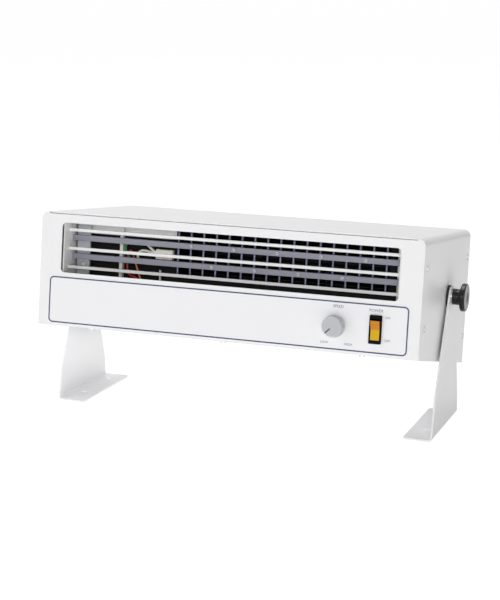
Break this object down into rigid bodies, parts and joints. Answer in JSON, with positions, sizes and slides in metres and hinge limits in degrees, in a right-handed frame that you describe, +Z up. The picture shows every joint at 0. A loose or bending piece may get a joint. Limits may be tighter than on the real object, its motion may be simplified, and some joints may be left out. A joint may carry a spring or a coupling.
{
  "type": "ionizing blower",
  "caption": "Bench-top ionizing blower: a wide sheet-metal case with a guarded air outlet and a cross-flow fan, tilting between two side brackets.",
  "frame": {"origin": "centre of the four fixing holes, on the underside of the two feet, straight below the tilt axis", "axes": "+X towards the side with the switch, -Y the way the outlet faces, +Z up"},
  "size_m": [0.483, 0.262, 0.2324],
  "materials": {
    "white_paint": "satin white powder coat",
    "bracket_paint": "satin white powder coat",
    "overlay": "bare off-white control overlay with a thin blue-grey border line",
    "guard_white": "white painted guard bars",
    "galvanised": "galvanised sheet",
    "steel": "zinc plated",
    "core_steel": "varnished laminations",
    "rotor_metal": "turned",
    "emitter_plastic": "blue-grey insulating bar",
    "support_plastic": "grey insulator",
    "tungsten": "bright emitter points",
    "grid_steel": "plated wire",
    "housing_black": "matt black painted fan housing",
    "impeller_black": "black coated",
    "black_rubber": "matt black",
    "black_plastic": "gloss black",
    "bronze": "sintered bronze",
    "brass": "bright",
    "coil": "taped winding",
    "potting": "black potting",
    "white_plastic": "white nylon",
    "board": "green laminate",
    "knob_grey": "light grey fluted knob",
    "amber": "translucent amber rocker"
  },
  "bodies": {
    "stand": {"bracket_left": "bracket_paint", "bracket_right": "bracket_paint", "friction_washers": "black_rubber"},
    "clamp_slide_left": {"clamp_washer_left": "steel"},
    "clamp_slide_right": {"clamp_washer_right": "steel"},
    "clamp_left": {"clamp_knob_left": "black_plastic", "clamp_stud_left": "steel"},
    "clamp_right": {"clamp_knob_right": "black_plastic", "clamp_stud_right": "steel"},
    "fan": {"impeller": "impeller_black", "fan_shafts": "steel", "motor_rotor": "rotor_metal"},
    "speed_control": {"speed_knob": "knob_grey", "pot_shaft": "steel"},
    "rocker": {"switch_rocker": "amber"},
    "case": {"weld_nuts": "steel", "cover": "white_paint", "bottom_tray": "white_paint", "front_panel": "white_paint", "control_overlay": "overlay", "rear_panel": "white_paint", "outlet_grille": "guard_white", "emitter_bar_upper": "emitter_plastic", "emitter_bar_lower": "emitter_plastic", "emitter_support_left": "support_plastic", "emitter_support_right": "white_plastic", "emitter_points": "tungsten", "earth_rails": "grid_steel", "earth_wires": "grid_steel", "bar_brace": "white_plastic", "outlet_baffle": "housing_black", "baffle_bracket": "guard_white", "fan_end_plate_left": "housing_black", "fan_end_plate_right": "housing_black", "fan_scroll": "housing_black", "fan_tongue": "housing_black", "bearing_bush": "bronze", "bush_mount": "black_rubber", "motor_core": "core_steel", "motor_coil": "coil", "motor_bracket_inner": "rotor_metal", "motor_bracket_outer": "rotor_metal", "lead_connector": "white_plastic", "transformer": "potting", "transformer_clip": "galvanised", "terminal_block": "white_plastic", "speed_board": "board", "potentiometer": "steel", "switch_body": "black_plastic", "inlet_socket": "black_plastic", "inlet_pins": "brass", "fuse_holder": "black_plastic", "side_screws": "steel", "bottom_screws": "steel", "rear_screws": "steel", "fan_screws": "steel", "transformer_screws": "steel"}
  },
  "joints": [
    {"name": "tilt", "type": "hinge", "parent": "stand", "child": "case", "pos_m": [0, 0, 0.149], "axis": [-1, 0, 0], "range_deg": [-96, 84]},
    {"name": "clamp_travel_left", "type": "slide", "parent": "case", "child": "clamp_slide_left", "axis": [-1, 0, 0], "range_m": [0, 0.002]},
    {"name": "clamp_turn_left", "type": "hinge", "parent": "clamp_slide_left", "child": "clamp_left", "pos_m": [-0.225, 0, 0.149], "axis": [-1, 0, 0], "range_deg": [0, 721]},
    {"name": "clamp_travel_right", "type": "slide", "parent": "case", "child": "clamp_slide_right", "axis": [1, 0, 0], "range_m": [0, 0.002]},
    {"name": "clamp_turn_right", "type": "hinge", "parent": "clamp_slide_right", "child": "clamp_right", "pos_m": [0.225, 0, 0.149], "axis": [1, 0, 0], "range_deg": [0, 721]},
    {"name": "fan_spin", "type": "hinge", "parent": "case", "child": "fan", "pos_m": [0.051, -0.0135, 0.15444], "axis": [1, 0, 0], "continuous": true},
    {"name": "speed_turn", "type": "hinge", "parent": "case", "child": "speed_control", "pos_m": [0.1276, -0.13431, 0.13396], "axis": [0, 0.9945, -0.1045], "range_deg": [0, 270]},
    {"name": "rocker_swing", "type": "hinge", "parent": "case", "child": "rocker", "pos_m": [0.1723, -0.13431, 0.13396], "axis": [-1, 0, 0], "range_deg": [0, 22]}
  ],
  "couplings": [
    {"joint": "clamp_turn_left", "follows": "clamp_travel_left", "rad_per_m": 6283.2},
    {"joint": "clamp_turn_right", "follows": "clamp_travel_right", "rad_per_m": 6283.2}
  ]
}
